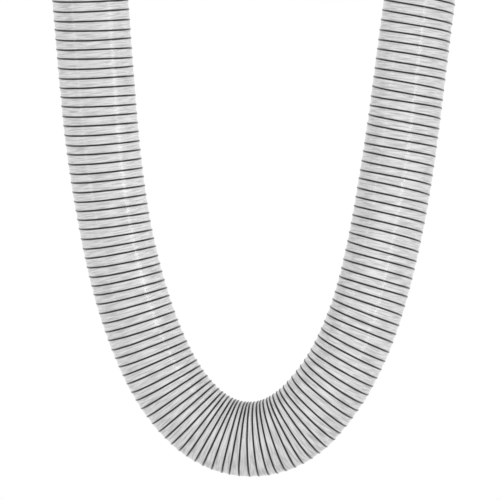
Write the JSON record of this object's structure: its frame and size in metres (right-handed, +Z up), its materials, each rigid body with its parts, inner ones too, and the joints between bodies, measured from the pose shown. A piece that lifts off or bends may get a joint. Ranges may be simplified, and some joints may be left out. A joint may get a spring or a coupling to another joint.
{
  "type": "flexible air duct",
  "caption": "Round flexible air duct of thin plastic film over a spring wire helix, hanging in a U, jointed to bend, sway and stretch.",
  "frame": {"origin": "centre of the inlet mouth, at the top of the leg on the left as seen from -Y", "axes": "+Z up, out of the inlet mouth; +X from the inlet leg to the outlet leg; +Y across the plane of the U, away from the front"},
  "size_m": [0.5783, 0.1511, 0.7223],
  "materials": {
    "film": "glossy, faintly creased",
    "wire": "black coated, satin"
  },
  "bodies": {
    "length_01": {"film_01": "film", "wire_01": "wire", "film_bend_01": "film"},
    "length_02": {"film_02": "film", "wire_02": "wire", "film_bend_02": "film"},
    "length_03": {"film_03": "film", "wire_03": "wire", "film_bend_03": "film"},
    "length_04": {"film_04": "film", "wire_04": "wire", "film_bend_04": "film"},
    "length_05": {"film_05": "film", "wire_05": "wire", "film_bend_05": "film"},
    "length_06": {"film_06": "film", "wire_06": "wire", "film_bend_06": "film"},
    "length_07": {"film_07": "film", "wire_07": "wire", "film_bend_07": "film"},
    "length_08": {"film_08": "film", "wire_08": "wire", "film_bend_08": "film"},
    "length_09": {"film_09": "film", "wire_09": "wire", "film_bend_09": "film"},
    "length_10": {"film_10": "film", "wire_10": "wire", "film_bend_10": "film"},
    "length_11": {"film_11": "film", "wire_11": "wire", "film_bend_11": "film"},
    "length_12": {"film_12": "film", "wire_12": "wire", "film_bend_12": "film"},
    "length_13": {"film_13": "film", "wire_13": "wire", "film_bend_13": "film"},
    "length_14": {"film_14": "film", "wire_14": "wire", "film_bend_14": "film"},
    "length_15": {"film_15": "film", "wire_15": "wire", "film_bend_15": "film"},
    "length_16": {"film_16": "film", "wire_16": "wire", "film_bend_16": "film"},
    "length_17": {"film_17": "film", "wire_17": "wire", "film_bend_17": "film"},
    "length_18": {"film_18": "film", "wire_18": "wire"}
  },
  "joints": [
    {"name": "sway_01", "type": "hinge", "parent": "length_01", "child": "length_02", "pos_m": [0.009, 0, -0.122], "axis": [-0.9967, 0, -0.0807], "range_deg": [-14, 14], "deforming": ["film_bend_01"]},
    {"name": "stretch_02", "type": "slide", "parent": "length_02", "child": "length_03", "axis": [0.1232, 0, -0.9924], "range_m": [-0.014, 0.006], "deforming": ["film_bend_02"]},
    {"name": "bend_03", "type": "hinge", "parent": "length_03", "child": "length_04", "pos_m": [0.042, 0, -0.389], "axis": [-0.0016, 1, -0.0065], "range_deg": [-6, 6], "deforming": ["film_bend_03"]},
    {"name": "sway_04", "type": "hinge", "parent": "length_04", "child": "length_05", "pos_m": [0.072, 0, -0.497], "axis": [0.9408, 0, 0.339], "range_deg": [-14, 14], "deforming": ["film_bend_04"]},
    {"name": "bend_05", "type": "hinge", "parent": "length_05", "child": "length_06", "pos_m": [0.106, 0, -0.573], "axis": [0.0004, 1, -0.0067], "range_deg": [-8, 12], "deforming": ["film_bend_05"]},
    {"name": "bend_06", "type": "hinge", "parent": "length_06", "child": "length_07", "pos_m": [0.137, 0, -0.616], "axis": [0.0018, 1, -0.0065], "range_deg": [-8, 12], "deforming": ["film_bend_06"]},
    {"name": "bend_07", "type": "hinge", "parent": "length_07", "child": "length_08", "pos_m": [0.167, 0, -0.643], "axis": [0.0033, 1, -0.0058], "range_deg": [-4, 16], "deforming": ["film_bend_07"]},
    {"name": "bend_08", "type": "hinge", "parent": "length_08", "child": "length_09", "pos_m": [0.2, 0, -0.659], "axis": [0.0049, 1, -0.0045], "range_deg": [-5, 20], "deforming": ["film_bend_08"]},
    {"name": "sway_09", "type": "hinge", "parent": "length_09", "child": "length_10", "pos_m": [0.236, 0, -0.663], "axis": [0.054, 0, -0.9985], "range_deg": [-12, 12], "deforming": ["film_bend_09"]},
    {"name": "bend_10", "type": "hinge", "parent": "length_10", "child": "length_11", "pos_m": [0.272, 0, -0.655], "axis": [0.0067, 1, -0.0005], "range_deg": [-4, 20], "deforming": ["film_bend_10"]},
    {"name": "bend_11", "type": "hinge", "parent": "length_11", "child": "length_12", "pos_m": [0.305, 0, -0.634], "axis": [0.0065, 1, 0.0016], "range_deg": [-7, 16], "deforming": ["film_bend_11"]},
    {"name": "bend_12", "type": "hinge", "parent": "length_12", "child": "length_13", "pos_m": [0.332, 0, -0.604], "axis": [0.0061, 1, 0.0028], "range_deg": [-8, 7], "deforming": ["film_bend_12"]},
    {"name": "bend_13", "type": "hinge", "parent": "length_13", "child": "length_14", "pos_m": [0.362, 0, -0.561], "axis": [0.0055, 1, 0.0038], "range_deg": [-8, 11], "deforming": ["film_bend_13"]},
    {"name": "sway_14", "type": "hinge", "parent": "length_14", "child": "length_15", "pos_m": [0.396, 0.004, -0.484], "axis": [0.9469, 0, -0.3214], "range_deg": [-14, 14], "deforming": ["film_bend_14"]},
    {"name": "bend_15", "type": "hinge", "parent": "length_15", "child": "length_16", "pos_m": [0.422, 0.015, -0.377], "axis": [0.0041, 1, 0.0053], "range_deg": [-6, 5], "deforming": ["film_bend_15"]},
    {"name": "stretch_16", "type": "slide", "parent": "length_16", "child": "length_17", "axis": [0.1378, 0.0781, 0.9874], "range_m": [-0.014, 0.006], "deforming": ["film_bend_16"]},
    {"name": "sway_17", "type": "hinge", "parent": "length_17", "child": "length_18", "pos_m": [0.459, 0.036, -0.111], "axis": [-0.9927, 0, 0.121], "range_deg": [-14, 14], "deforming": ["film_bend_17"]}
  ]
}
